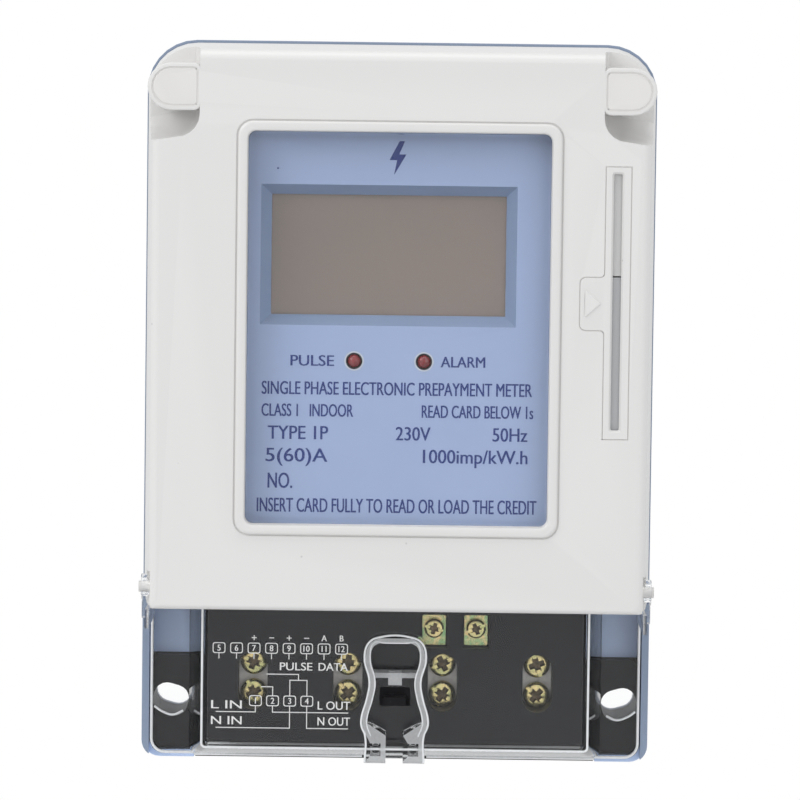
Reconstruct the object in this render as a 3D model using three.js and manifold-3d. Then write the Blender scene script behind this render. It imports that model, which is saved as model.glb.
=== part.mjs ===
// A single-phase prepaid electricity meter with a card slot, as an assembly of separate pieces.
//
// The pieces are drawn in panel coordinates, in millimetres: x to the right, y up, z forward from
// the wall. The origin is the middle of the back face. One group turns the meter upright at the
// end, so that z becomes the direction that the front faces.

import * as THREE from 'three';
import { mergeVertices } from 'three/addons/utils/BufferGeometryUtils.js';
import Module from 'manifold-3d';

const wasm = await Module();
wasm.setup();

// ---- driving dimensions ----

const WIDTH = 113.4;
const HEIGHT = 160.6;
const GAP = 0.3; // clearance between pieces that meet
const SEAM = 0.2; // narrower clearance of the parts that show on the front
const QUARTER = Math.PI / 2;

const SIDE = WIDTH / 2;
const TOP = HEIGHT / 2;
const BOTTOM = -HEIGHT / 2;

const FLOOR = 2.6; // thickness of the tub's floor
const TUB_WALL = 1.6;
const TUB_RIM = 24; // the tub meets the front housing here
const TUB_TOP_RADIUS = 11;
const TUB_BOTTOM_RADIUS = 4;

const FRONT = 57.2; // flat front of the housing
const LIP_HEIGHT = 0.8;
const HOUSING_BOTTOM = -43.5; // the terminal chamber is below this
const HOUSING_BACK = TUB_RIM + GAP;
const HOUSING = { side: SIDE - 0.25, top: TOP - 0.6, frontSide: 54.2, frontTop: 78.2 }; // back rim and front
const FRONT_WALL = 2.4;

const WINDOW = { left: -33.1, right: 32.5, bottom: -24.5, top: 60.7, radius: 1.7 };
const DISPLAY = { left: -28.1, right: 23, bottom: 20.8, top: 47 };
const NAMEPLATE_FACE = 51.2;
const NAMEPLATE_BACK = 48.4;
const LED_PLACES = { led_pulse: -9.8, led_alarm: 5.4 };
const LED_LEVEL = 10.9;

const POST = { x: 49.1, y: 70.1 }; // middle of the D-shaped screw posts in the top corners
const CAP_SIZE = { width: 9.8, height: 8.2 };
const CAP_SEAT = 52;

const SLOT = { x: 46.9, bottom: -3.2, top: 52.3, width: 1.8 };
const CARD_READER = { half: 3.9, end: 1.6, back: 20, stop: 23 };
const CARD_SEAL = { half: 1.5, end: 0.4, thick: 1.2, depth: 1.2, meeting: 30.1 };

const TERMINAL_PITCH = 21;
const TERMINALS = [-1.5, -0.5, 0.5, 1.5].map((step) => step * TERMINAL_PITCH);
const TERMINAL_MIDDLE = -61.1;
const SCREW_SPACING = 6.9; // between the two screws of one terminal
const TERMINAL_FACE = 29.5; // metal seen in the screw windows
const WIRE_AXIS = 15.5; // height of the cable bores above the wall
const AUX_TERMINALS = [8.5, 17.8];
const AUX_LEVEL = -49.2;
const AUX_FACE = 34.8;
const AUX_PLATE = { half: 2.65, below: 3.9, above: 2.9, thick: 1.4 };

const BLOCK_FACE = 38;
const BLOCK_STEP = 23.8;
const BLOCK_HALF = 46.1;
const BLOCK_BOTTOM = BOTTOM + TUB_WALL + GAP;
const BLOCK_TOP = -36;
const CABLE_GAP = 45; // half-width of the opening for the block's foot in the tub's bottom wall
const CABLE_SILL = 6;
const EAR_HALF = 54.6;
const EAR_TOP = -57.5;
const EAR_FACE = 22;
const MOUNT_SLOT = { x: 50.4, y: -67.6, width: 8, height: 7, radius: 3, tilt: 16 };

const COVER_FACE = 48;
const COVER_FLANGE = 26;
const COVER_SKIN = 1.5;
const FLANGE_HALF = SIDE - TUB_WALL - 0.25;
const COVER_TOP = -44.1;
const COVER_BOTTOM = -79.4;
const EAR_OUTSIDE = 55.6; // half-width over the cover's hinge ears
const HINGE = { y: -38.9, z: 52.5, ear: 2.8, pin: 1.2 };

// ---- outlines, as lists of points ----

function arc(x, y, radius, from, to, steps) {
  const points = [];
  for (let i = 0; i <= steps; i += 1) {
    const angle = from + ((to - from) * i) / steps;
    points.push(new THREE.Vector2(x + radius * Math.cos(angle), y + radius * Math.sin(angle)));
  }
  return points;
}

function circle(x, y, radius, steps = 20) {
  return arc(x, y, radius, 0, 4 * QUARTER, steps).slice(0, -1);
}

// Corner radii run counter-clockwise from the bottom right corner.
function roundedRectangle(left, right, bottom, top, radii, steps = 5) {
  const [lowRight, highRight, highLeft, lowLeft] = Array.isArray(radii) ? radii : Array(4).fill(radii);
  const points = [
    ...arc(right - lowRight, bottom + lowRight, lowRight, -QUARTER, 0, steps),
    ...arc(right - highRight, top - highRight, highRight, 0, QUARTER, steps),
    ...arc(left + highLeft, top - highLeft, highLeft, QUARTER, 2 * QUARTER, steps),
    ...arc(left + lowLeft, bottom + lowLeft, lowLeft, 2 * QUARTER, 3 * QUARTER, steps),
  ];
  return points.filter((point, i) => point.distanceTo(points.at(i - 1)) > 1e-6);
}

function rectangle(left, right, bottom, top) {
  const corners = [[left, bottom], [right, bottom], [right, top], [left, top]];
  return corners.map(([x, y]) => new THREE.Vector2(x, y));
}

// Moves every edge of a counter-clockwise outline outwards by a distance.
function outset(outline, distance) {
  return outline.map((point, i) => {
    const before = point.clone().sub(outline.at(i - 1)).normalize();
    const after = outline[(i + 1) % outline.length].clone().sub(point).normalize();
    const miter = new THREE.Vector2(before.y + after.y, -before.x - after.x);
    return point.clone().addScaledVector(miter, distance / (1 + before.dot(after)));
  });
}

function mirrored(outline) {
  return outline.map((point) => new THREE.Vector2(-point.x, point.y)).reverse();
}

function turned(outline, x, y, degrees) {
  const centre = new THREE.Vector2(x, y);
  return outline.map((point) => point.clone().rotateAround(centre, THREE.MathUtils.degToRad(degrees)));
}

// ---- solids ----

function prism(outline, back, front, holes = []) {
  const shape = new THREE.Shape(outline);
  shape.holes = holes.map((hole) => new THREE.Path(hole));
  const geometry = new THREE.ExtrudeGeometry(shape, { depth: front - back, bevelEnabled: false });
  return geometry.translate(0, 0, back);
}

// Joins outlines with equal numbers of points, from the back one to the front one.
function loft(rings) {
  const count = rings[0].outline.length;
  const vertices = [];
  const triangles = [];
  rings.forEach(({ outline, z }, level) => {
    outline.forEach((point) => vertices.push(point.x, point.y, z));
    if (level === 0) return;
    for (let i = 0; i < count; i += 1) {
      const low = (level - 1) * count + i;
      const lowNext = (level - 1) * count + ((i + 1) % count);
      triangles.push(low, lowNext, lowNext + count, low, lowNext + count, low + count);
    }
  });
  const frontStart = (rings.length - 1) * count;
  for (const [a, b, c] of THREE.ShapeUtils.triangulateShape(rings[0].outline, [])) {
    triangles.push(c, b, a);
  }
  for (const [a, b, c] of THREE.ShapeUtils.triangulateShape(rings.at(-1).outline, [])) {
    triangles.push(frontStart + a, frontStart + b, frontStart + c);
  }
  const geometry = new THREE.BufferGeometry();
  geometry.setAttribute('position', new THREE.Float32BufferAttribute(vertices, 3));
  geometry.setIndex(triangles);
  return geometry;
}

function box(left, right, bottom, top, back, front) {
  const geometry = new THREE.BoxGeometry(right - left, top - bottom, front - back);
  return geometry.translate((left + right) / 2, (bottom + top) / 2, (back + front) / 2);
}

// A round bar along x or y, from one coordinate to the other.
function barAlongX(from, to, y, z, radius, steps = 20) {
  const geometry = new THREE.CylinderGeometry(radius, radius, to - from, steps);
  return geometry.rotateZ(QUARTER).translate((from + to) / 2, y, z);
}

function barAlongY(x, from, to, z, radius, steps = 20) {
  const geometry = new THREE.CylinderGeometry(radius, radius, to - from, steps);
  return geometry.translate(x, (from + to) / 2, z);
}

function solid(geometry) {
  const bare = geometry.clone();
  bare.deleteAttribute('normal');
  bare.deleteAttribute('uv');
  const merged = mergeVertices(bare, 1e-4);
  return new wasm.Manifold(new wasm.Mesh({
    numProp: 3,
    vertProperties: new Float32Array(merged.attributes.position.array),
    triVerts: new Uint32Array(merged.index.array),
  }));
}

function joined(first, ...others) {
  return others.reduce((sum, geometry) => sum.add(solid(geometry)), solid(first));
}

function geometryOf(manifold) {
  const mesh = manifold.getMesh();
  const geometry = new THREE.BufferGeometry();
  geometry.setAttribute('position', new THREE.BufferAttribute(new Float32Array(mesh.vertProperties), 3));
  geometry.setIndex(new THREE.BufferAttribute(new Uint32Array(mesh.triVerts), 1));
  return geometry;
}

function cut(from, ...tools) {
  return geometryOf(tools.reduce((rest, tool) => rest.subtract(solid(tool)), solid(from)));
}

// ---- the assembly and its finishes ----

const meter = new THREE.Group();
meter.rotation.x = QUARTER;

const FINISH = {
  housing: { color: 0xe5e3e2, roughness: 0.5, metalness: 0 },
  tub: { color: 0x8d9db4, roughness: 0.45, metalness: 0 },
  nameplate: { color: 0x9eacc8, roughness: 0.5, metalness: 0 },
  clear: { color: 0xf2f6f7, roughness: 0.1, metalness: 0 },
  display: { color: 0x88827c, roughness: 0.25, metalness: 0 },
  black: { color: 0x35363c, roughness: 0.55, metalness: 0 },
  led: { color: 0x8c1c22, roughness: 0.3, metalness: 0 },
  board: { color: 0x2f6b45, roughness: 0.5, metalness: 0 },
  brass: { color: 0xc2ab6c, roughness: 0.35, metalness: 1 },
  zinc: { color: 0xb9b9b2, roughness: 0.35, metalness: 1 },
  copper: { color: 0xb87450, roughness: 0.35, metalness: 1 },
  reader: { color: 0xa9a9ad, roughness: 0.5, metalness: 0 },
  yellow: { color: 0xd9b23c, roughness: 0.5, metalness: 0 },
  blue: { color: 0x2c4f9e, roughness: 0.45, metalness: 0 },
  grey: { color: 0x6d7075, roughness: 0.5, metalness: 0.2 },
};

function add(name, geometry, finish, x = 0, y = 0, z = 0) {
  const mesh = new THREE.Mesh(geometry, new THREE.MeshStandardMaterial(FINISH[finish]));
  mesh.name = name;
  mesh.position.set(x, y, z);
  meter.add(mesh);
  return mesh;
}

// ---- shared outlines ----

// D-shaped outline in a top corner: side is 1 on the right and -1 on the left.
function postOutline(side, margin) {
  const halfWidth = CAP_SIZE.width / 2 + margin;
  const halfHeight = CAP_SIZE.height / 2 + margin;
  const innerRadius = 1 + margin;
  const outline = roundedRectangle(
    POST.x - halfWidth,
    POST.x + halfWidth,
    POST.y - halfHeight,
    POST.y + halfHeight,
    [halfHeight - 0.01, halfHeight - 0.01, innerRadius, innerRadius],
  );
  return side > 0 ? outline : mirrored(outline);
}

function mountSlotOutline(side, margin = 0) {
  const { x, y, width, height, radius, tilt } = MOUNT_SLOT;
  const outline = roundedRectangle(
    side * x - width / 2 - margin,
    side * x + width / 2 + margin,
    y - height / 2 - margin,
    y + height / 2 + margin,
    radius + margin,
  );
  return turned(outline, side * x, y, side * tilt);
}

function bezelOutline() {
  const left = 44.2;
  const right = 49.8;
  const bottom = -5.2;
  const top = 53.9;
  const tab = { left: 38.9, bottom: 18.4, top: 30, radius: 1.3 };
  const notch = 0.8;
  const corner = (x, y) => [new THREE.Vector2(x, y)];
  return [
    ...corner(left, bottom),
    ...corner(right, bottom),
    ...corner(right, top),
    ...corner(left, top),
    ...arc(left - notch, tab.top + notch, notch, 0, -QUARTER, 3),
    ...arc(tab.left + tab.radius, tab.top - tab.radius, tab.radius, QUARTER, 2 * QUARTER, 4),
    ...arc(tab.left + tab.radius, tab.bottom + tab.radius, tab.radius, 2 * QUARTER, 3 * QUARTER, 4),
    ...arc(left - notch, tab.bottom - notch, notch, QUARTER, 0, 3),
  ];
}

// ---- tub: the blue back half, which is fixed to the wall ----

function tub() {
  const outer = roundedRectangle(-SIDE, SIDE, BOTTOM, TOP, [
    TUB_BOTTOM_RADIUS, TUB_TOP_RADIUS, TUB_TOP_RADIUS, TUB_BOTTOM_RADIUS,
  ], 7);
  const inner = outset(outer, -TUB_WALL);
  const chamberRim = TUB_RIM + 2.3;
  const postRadius = 4.2;
  const boardPostRadius = 3;
  const boardPostTop = 8;
  const hanger = { y: 58, radius: 4.5, slot: 2.5, drop: 9, deep: 5.5, wall: 2.5 };

  let body = joined(
    prism(outer, 0, chamberRim),
  ).subtract(solid(prism(inner, FLOOR, chamberRim + 1)))
    .subtract(solid(box(-SIDE - 1, SIDE + 1, COVER_TOP - 0.3, TOP + 1, TUB_RIM, chamberRim + 1)))
    .subtract(solid(box(-SIDE + TUB_WALL, SIDE - TUB_WALL, BOTTOM - 1, BOTTOM + 9, TUB_RIM, chamberRim + 1)))
    .subtract(solid(box(
      -CABLE_GAP, CABLE_GAP, BOTTOM - 1, BOTTOM + TUB_WALL + 1, CABLE_SILL, chamberRim + 1,
    )));

  for (const side of [-1, 1]) {
    body = body.subtract(solid(prism(mountSlotOutline(side), -1, FLOOR + 1)));
    body = body.add(solid(sideShelf(side)));
    body = body.add(solid(prism(circle(side * POST.x, POST.y, postRadius), FLOOR - 1, TUB_RIM - GAP)));
    body = body.subtract(solid(prism(circle(side * POST.x, POST.y, 1.9, 12), 8, TUB_RIM + 1)));
    for (const y of [-20, 60]) {
      body = body.add(solid(prism(circle(side * 36, y, boardPostRadius, 12), FLOOR - 1, boardPostTop)));
    }
  }

  // Keyhole on the back for the hanging screw, in a raised box on the floor.
  body = body.add(solid(box(-9, 9, hanger.y - 8, hanger.y + 12, FLOOR - 1, hanger.deep + 2)));
  body = body.subtract(solid(prism(circle(0, hanger.y, hanger.radius), -1, hanger.deep)));
  body = body.subtract(solid(box(
    -hanger.slot, hanger.slot, hanger.y, hanger.y + hanger.drop, -1, hanger.wall,
  )));
  body = body.subtract(solid(box(
    -hanger.radius, hanger.radius, hanger.y, hanger.y + hanger.drop, hanger.wall, hanger.deep,
  )));
  return geometryOf(body);
}

// Raised shelf beside the terminal block, above the mounting ears.
function sideShelf(side) {
  const front = EAR_FACE - 2.5;
  const back = FLOOR - 1;
  const near = BLOCK_HALF + GAP;
  const far = SIDE - TUB_WALL / 2;
  const bottom = EAR_TOP + GAP;
  const top = HOUSING_BOTTOM + 8;
  return side > 0
    ? box(near, far, bottom, top, back, front)
    : box(-far, -near, bottom, top, back, front);
}

// ---- front housing ----

// One level of the housing's drafted body: inset moves the sides and the top inwards.
function housingRing(halfWidth, top, inset, radius, bottomShare) {
  return roundedRectangle(
    -halfWidth + inset,
    halfWidth - inset,
    HOUSING_BOTTOM + inset * bottomShare,
    top - inset,
    [1.2, radius, radius, 1.2],
    7,
  );
}

function housingBody() {
  const fillet = 2.2;
  const { side, top, frontSide, frontTop } = HOUSING;
  const rings = [{ outline: housingRing(side, top, 0, TUB_TOP_RADIUS, 0), z: HOUSING_BACK }];
  const steps = 4;
  for (let i = 0; i <= steps; i += 1) {
    const angle = (QUARTER * i) / steps;
    const inset = fillet * (1 - Math.cos(angle));
    rings.push({
      outline: housingRing(frontSide, frontTop, inset, TUB_TOP_RADIUS - 1.5 - inset / 2, 0.5),
      z: FRONT - fillet + fillet * Math.sin(angle),
    });
  }
  return solid(loft(rings));
}

function housingCavity() {
  const wall = 2.2;
  const { side, top, frontSide, frontTop } = HOUSING;
  return loft([
    { outline: housingRing(side - wall, top - 2 * wall, 0, 9, 0), z: HOUSING_BACK - 1 },
    { outline: housingRing(frontSide - wall, frontTop - 2 * wall, 0, 8, 0), z: FRONT - FRONT_WALL },
  ]).translate(0, wall, 0);
}

// Scooped recess round each screw post, open to the side and the top of the housing.
function cornerPocket(side) {
  const floor = 44;
  const depth = FRONT - floor;
  const rise = 5; // how far the scooped lower wall comes forward and up
  const corner = 5;
  const inner = 43.7;
  const lower = 59.2;
  const slope = 2; // fall of the lower edge towards the side
  const beyond = 61;
  const levels = [1, 0.85, 0.6, 0.3, 0];
  const rings = levels.map((level) => {
    const inset = rise * (1 - Math.sqrt(1 - level * level));
    const left = inner + inset * 0.3;
    const bottom = lower + inset;
    const outline = [
      ...arc(left + corner, bottom + corner, corner, 2 * QUARTER, 3 * QUARTER, 5),
      new THREE.Vector2(beyond, bottom - slope),
      new THREE.Vector2(beyond, TOP + 4),
      new THREE.Vector2(left, TOP + 4),
    ];
    return { outline: side > 0 ? outline : mirrored(outline), z: FRONT - depth * level };
  });
  rings.push({ outline: rings.at(-1).outline, z: FRONT + 2 });
  return loft(rings);
}

function screwPost(side) {
  const margin = 1.05;
  const edge = 0.5;
  return loft([
    { outline: postOutline(side, margin), z: HOUSING_BACK },
    { outline: postOutline(side, margin), z: FRONT - edge },
    { outline: postOutline(side, margin - edge * 0.3), z: FRONT - edge * 0.3 },
    { outline: postOutline(side, margin - edge), z: FRONT },
  ]);
}

function windowOutline(margin) {
  const { left, right, bottom, top, radius } = WINDOW;
  const rounding = radius + margin * 0.7;
  return roundedRectangle(left - margin, right + margin, bottom - margin, top + margin, rounding);
}

function windowLip() {
  const width = 2.2;
  return loft([
    { outline: windowOutline(width), z: FRONT - 0.5 },
    { outline: windowOutline(width), z: FRONT + LIP_HEIGHT * 0.4 },
    { outline: windowOutline(width - 0.25), z: FRONT + LIP_HEIGHT * 0.8 },
    { outline: windowOutline(width - 0.7), z: FRONT + LIP_HEIGHT },
  ]);
}

function windowCut() {
  return loft([
    { outline: windowOutline(0), z: FRONT - 10 },
    { outline: windowOutline(0), z: FRONT + LIP_HEIGHT - 0.7 },
    { outline: windowOutline(0.25), z: FRONT + LIP_HEIGHT - 0.2 },
    { outline: windowOutline(0.75), z: FRONT + LIP_HEIGHT + 0.01 },
  ]);
}

function frontHousing() {
  const outerBody = housingBody();
  let body = outerBody.subtract(solid(housingCavity()));
  const recessDepth = 53.6; // half-width of the housing beside the hinge ears
  const recessTop = HINGE.y + HINGE.ear + 0.9;
  const recessBack = HINGE.z - HINGE.ear - 0.7;

  for (const side of [-1, 1]) {
    const cornerBlock = side > 0 ? box(40.5, 60, 55.5, 85, 41.5, 60) : box(-60, -40.5, 55.5, 85, 41.5, 60);
    body = body.add(solid(cornerBlock).intersect(outerBody));
    body = body.subtract(solid(cornerPocket(side)));
    body = body.add(solid(screwPost(side)));
    body = body.subtract(solid(prism(postOutline(side, SEAM), CAP_SEAT, FRONT + 1)));
    body = body.subtract(solid(prism(circle(side * POST.x, POST.y, 3.4), 44, CAP_SEAT + 1)));
    body = body.subtract(solid(prism(circle(side * POST.x, POST.y, 1.9, 12), HOUSING_BACK - 1, 45)));

    const recess = side > 0
      ? box(recessDepth, 60, HOUSING_BOTTOM - 1, recessTop, recessBack, FRONT + 2)
      : box(-60, -recessDepth, HOUSING_BOTTOM - 1, recessTop, recessBack, FRONT + 2);
    body = body.subtract(solid(recess));
    const pin = side > 0
      ? barAlongX(recessDepth - 1, 56.2, HINGE.y, HINGE.z, HINGE.pin, 16)
      : barAlongX(-56.2, -recessDepth + 1, HINGE.y, HINGE.z, HINGE.pin, 16);
    body = body.add(solid(pin));
  }

  const groove = 0.4;
  const grooveRing = prism(windowOutline(2.2 + groove), FRONT - 0.3, FRONT + 1, [windowOutline(2.2)]);
  body = body.subtract(solid(grooveRing));
  body = body.add(solid(windowLip()));
  body = body.subtract(solid(windowCut()));
  body = body.subtract(solid(prism(outset(bezelOutline(), SEAM / 2), FRONT - 4, FRONT + 1)));
  return geometryOf(body);
}

// ---- window, nameplate and display ----

function windowLens() {
  const flange = loft([
    { outline: windowOutline(2), z: FRONT - FRONT_WALL - GAP - 1.6 },
    { outline: windowOutline(2), z: FRONT - FRONT_WALL - GAP },
  ]);
  const plug = loft([
    { outline: windowOutline(-GAP), z: FRONT - FRONT_WALL - GAP - 0.5 },
    { outline: windowOutline(-GAP), z: FRONT - 0.9 },
    { outline: windowOutline(-GAP - 0.4), z: FRONT - 0.6 },
  ]);
  return geometryOf(joined(flange, plug));
}

function nameplate() {
  const bevel = { side: 2.3, top: 2.2 };
  const { left, right, bottom, top } = DISPLAY;
  const displayCut = loft([
    { outline: rectangle(left, right, bottom, top), z: NAMEPLATE_BACK - 1 },
    { outline: rectangle(left, right, bottom, top), z: NAMEPLATE_BACK + 0.6 },
    {
      outline: rectangle(left - bevel.side, right + bevel.side, bottom - bevel.top, top + bevel.top),
      z: NAMEPLATE_FACE + 0.01,
    },
  ]);
  const ledCuts = Object.values(LED_PLACES).map((x) => (
    prism(circle(x, LED_LEVEL, 1.8), NAMEPLATE_BACK - 1, NAMEPLATE_FACE + 1)
  ));
  return cut(prism(windowOutline(2), NAMEPLATE_BACK, NAMEPLATE_FACE), displayCut, ...ledCuts);
}

function displayGlass() {
  const { left, right, bottom, top } = DISPLAY;
  const outline = outset(rectangle(left, right, bottom, top), 1.2);
  return prism(outline, NAMEPLATE_BACK - GAP - 2.4, NAMEPLATE_BACK - GAP);
}

function displayFrame() {
  const { left, right, bottom, top } = DISPLAY;
  const outline = rectangle(left, right, bottom, top);
  const front = NAMEPLATE_BACK - 2 * GAP - 2.4;
  return prism(outset(outline, 1.2), front - 2.6, front, [outset(outline, -2)]);
}

const DISPLAY_BOARD_FRONT = NAMEPLATE_BACK - 3 * GAP - 5;

function displayBoard() {
  return prism(roundedRectangle(-32, 30, 4, 52, 1.5, 2), DISPLAY_BOARD_FRONT - 1.6, DISPLAY_BOARD_FRONT);
}

function led() {
  const radius = 1.5;
  const dome = 1.3;
  const foot = DISPLAY_BOARD_FRONT + GAP;
  const profile = [
    new THREE.Vector2(0, foot),
    new THREE.Vector2(radius + 0.4, foot),
    new THREE.Vector2(radius + 0.4, foot + 1),
    new THREE.Vector2(radius, foot + 1),
  ];
  const steps = 5;
  for (let i = 0; i <= steps; i += 1) {
    const angle = (QUARTER * i) / steps;
    const x = i === steps ? 0 : radius * Math.cos(angle);
    profile.push(new THREE.Vector2(x, NAMEPLATE_FACE - dome + 0.5 + dome * Math.sin(angle)));
  }
  return new THREE.LatheGeometry(profile, 16).rotateX(QUARTER);
}

// ---- card slot ----

function slotOutline(margin) {
  return roundedRectangle(
    SLOT.x - SLOT.width / 2 - margin,
    SLOT.x + SLOT.width / 2 + margin,
    SLOT.bottom - margin,
    SLOT.top + margin,
    0.3 + margin / 2,
    2,
  );
}

const BEZEL_THICK = 3.2;

function slotBezel() {
  const throat = loft([
    { outline: slotOutline(0), z: FRONT - 5 },
    { outline: slotOutline(0), z: FRONT - 0.6 },
    { outline: slotOutline(0.45), z: FRONT + 0.01 },
  ]);
  const arrow = { tip: 43.4, back: 40.1, middle: 24.3, half: 2.9 };
  const triangle = [
    new THREE.Vector2(arrow.tip, arrow.middle),
    new THREE.Vector2(arrow.back, arrow.middle + arrow.half),
    new THREE.Vector2(arrow.back, arrow.middle - arrow.half),
  ];
  const raised = prism(triangle, FRONT - 1, FRONT + 0.25);
  const plate = prism(outset(bezelOutline(), -SEAM / 2), FRONT - BEZEL_THICK, FRONT);
  const { half, end, depth } = CARD_SEAL;
  const sealPocket = box(
    SLOT.x - half - GAP, SLOT.x + half + GAP, SLOT.bottom - end - GAP, SLOT.top + end + GAP,
    FRONT - BEZEL_THICK - 1, FRONT - depth + GAP,
  );
  return geometryOf(joined(plate, raised).subtract(solid(throat)).subtract(solid(sealPocket)));
}

// Soft lips behind the bezel that keep dust out; they meet at the height of the tab's top.
function cardSeal(part) {
  const { half, end, thick, depth, meeting } = CARD_SEAL;
  const front = FRONT - depth;
  return part === 'upper'
    ? box(SLOT.x - half, SLOT.x + half, meeting + GAP / 2, SLOT.top + end, front - thick, front)
    : box(SLOT.x - half, SLOT.x + half, SLOT.bottom - end, meeting - GAP / 2, front - thick, front);
}

function cardReader() {
  const { half, end, back, stop } = CARD_READER;
  const front = FRONT - BEZEL_THICK - GAP;
  const body = box(SLOT.x - half, SLOT.x + half, SLOT.bottom - end, SLOT.top + end, back, front);
  const halfSlot = SLOT.width / 2;
  const space = box(SLOT.x - halfSlot, SLOT.x + halfSlot, SLOT.bottom, SLOT.top, stop, front + 1);
  return cut(body, space);
}

// ---- measuring board and what stands on it ----

const BOARD_BACK = 8 + GAP;
const BOARD_FRONT = BOARD_BACK + 1.6;

function mainBoard() {
  const holes = [];
  for (const x of [-36, 36]) {
    for (const y of [-20, 60]) {
      holes.push(circle(x, y, 1.6, 10));
    }
  }
  return prism(roundedRectangle(-41, 41, -27, 66, 2, 2), BOARD_BACK, BOARD_FRONT, holes);
}

function currentTransformer() {
  const ring = { x: -20, y: -8, outer: 10, inner: 4.5, back: BOARD_FRONT + GAP, thick: 9 };
  const outline = circle(ring.x, ring.y, ring.outer, 24);
  return prism(outline, ring.back, ring.back + ring.thick, [circle(ring.x, ring.y, ring.inner)]);
}

function standingCan(x, y, radius, height) {
  const groove = 0.5;
  const foot = BOARD_FRONT + GAP;
  const profile = [
    [0, foot], [radius, foot], [radius, foot + 2], [radius - groove, foot + 2.6],
    [radius, foot + 3.2], [radius, foot + height - 0.6], [radius - 0.6, foot + height], [0, foot + height],
  ].map(([r, z]) => new THREE.Vector2(r, z));
  return new THREE.LatheGeometry(profile, 18).rotateX(QUARTER).translate(x, y, 0);
}

// ---- terminal block ----

function terminalWindow(x) {
  const width = 6.5;
  const height = 12.9;
  return roundedRectangle(
    x - width / 2,
    x + width / 2,
    TERMINAL_MIDDLE - height / 2,
    TERMINAL_MIDDLE + height / 2,
    width / 2,
    6,
  );
}

const TERMINAL_BODY = { half: 4, bottom: -69, top: -53, back: 9 };
const WIRE_BORE = 3.1;
const BUSBAR = { half: 2.5, back: 20, front: 21.4 };

function terminalBlock() {
  const raised = loft([
    { outline: roundedRectangle(-43.4, 43.4, -76.5, COVER_TOP, 1.5, 2), z: BLOCK_STEP - 1 },
    { outline: roundedRectangle(-41.8, 41.8, -74.6, COVER_TOP, 1.2, 2), z: BLOCK_FACE - 0.4 },
    { outline: roundedRectangle(-41.4, 41.4, -74.2, COVER_TOP - 0.4, 1, 2), z: BLOCK_FACE },
  ]);
  const footHalf = CABLE_GAP - GAP;
  let body = joined(
    box(-BLOCK_HALF, BLOCK_HALF, BLOCK_BOTTOM, BLOCK_TOP, FLOOR + GAP, BLOCK_STEP),
    box(-footHalf, footHalf, BOTTOM + 0.1, BLOCK_TOP, CABLE_SILL + GAP, BLOCK_STEP),
    raised,
  );

  for (const side of [-1, 1]) {
    const earRadii = [2.6, 2.2, 0.2, 0.2];
    const outline = roundedRectangle(BLOCK_HALF - 1, EAR_HALF, BLOCK_BOTTOM, EAR_TOP, earRadii, 4);
    body = body.add(solid(prism(side > 0 ? outline : mirrored(outline), FLOOR + GAP, EAR_FACE)));
    body = body.subtract(solid(prism(mountSlotOutline(side), 0, 30)));
  }

  for (const x of TERMINALS) {
    const { half, bottom, top, back } = TERMINAL_BODY;
    body = body.subtract(solid(prism(terminalWindow(x), TERMINAL_FACE, BLOCK_FACE + 1)));
    body = body.subtract(solid(box(
      x - half - GAP, x + half + GAP, bottom - GAP, top + GAP, back - GAP, TERMINAL_FACE + GAP,
    )));
    body = body.subtract(solid(barAlongY(x, -82, bottom, WIRE_AXIS, WIRE_BORE + 0.4)));
    body = body.subtract(solid(box(
      x - BUSBAR.half - GAP, x + BUSBAR.half + GAP, top, -30, BUSBAR.back - GAP, BUSBAR.front + GAP,
    )));
  }

  for (const x of AUX_TERMINALS) {
    body = body.subtract(solid(auxPocket(x)));
    body = body.subtract(solid(prism(circle(x, AUX_LEVEL, 1.4, 12), 26, AUX_FACE)));
    body = body.subtract(solid(barAlongY(x, -82, -52, AUX_FACE - 3.4, 1.2, 12)));
  }
  return geometryOf(body.add(solid(sealHook())));
}

function auxPocket(x) {
  const { half, below, above, thick } = AUX_PLATE;
  const plate = rectangle(x - half, x + half, AUX_LEVEL - below, AUX_LEVEL + above);
  return prism(outset(plate, GAP), AUX_FACE - thick - GAP, BLOCK_FACE + 1);
}

// Eye on the block that stands through the cover's window and takes the sealing wire.
function sealHook() {
  const hook = { half: 2.4, bottom: -65.9, top: -64.1, front: 42 };
  const eye = barAlongX(-4, 4, (hook.bottom + hook.top) / 2, hook.front - 1, 0.45, 10);
  return cut(box(-hook.half, hook.half, hook.bottom, hook.top, BLOCK_FACE - 1, hook.front), eye);
}

function terminal() {
  const { half, bottom, top, back } = TERMINAL_BODY;
  const body = box(-half, half, bottom, top, back, TERMINAL_FACE - GAP);
  const bore = barAlongY(0, bottom - 1, top - 2, WIRE_AXIS, WIRE_BORE, 16);
  const threads = [-1, 1].map((step) => (
    prism(circle(0, TERMINAL_MIDDLE + (step * SCREW_SPACING) / 2, 1.9, 12), WIRE_AXIS, TERMINAL_FACE + 1)
  ));
  return cut(body, bore, ...threads);
}

function busbar() {
  const { half, back, front } = BUSBAR;
  const start = TERMINAL_BODY.top + GAP;
  const end = -21;
  const foot = BOARD_FRONT + GAP;
  return geometryOf(joined(
    box(-half, half, start, end, back, front),
    box(-half, half, end - 1.4, end, foot, front),
  ));
}

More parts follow.
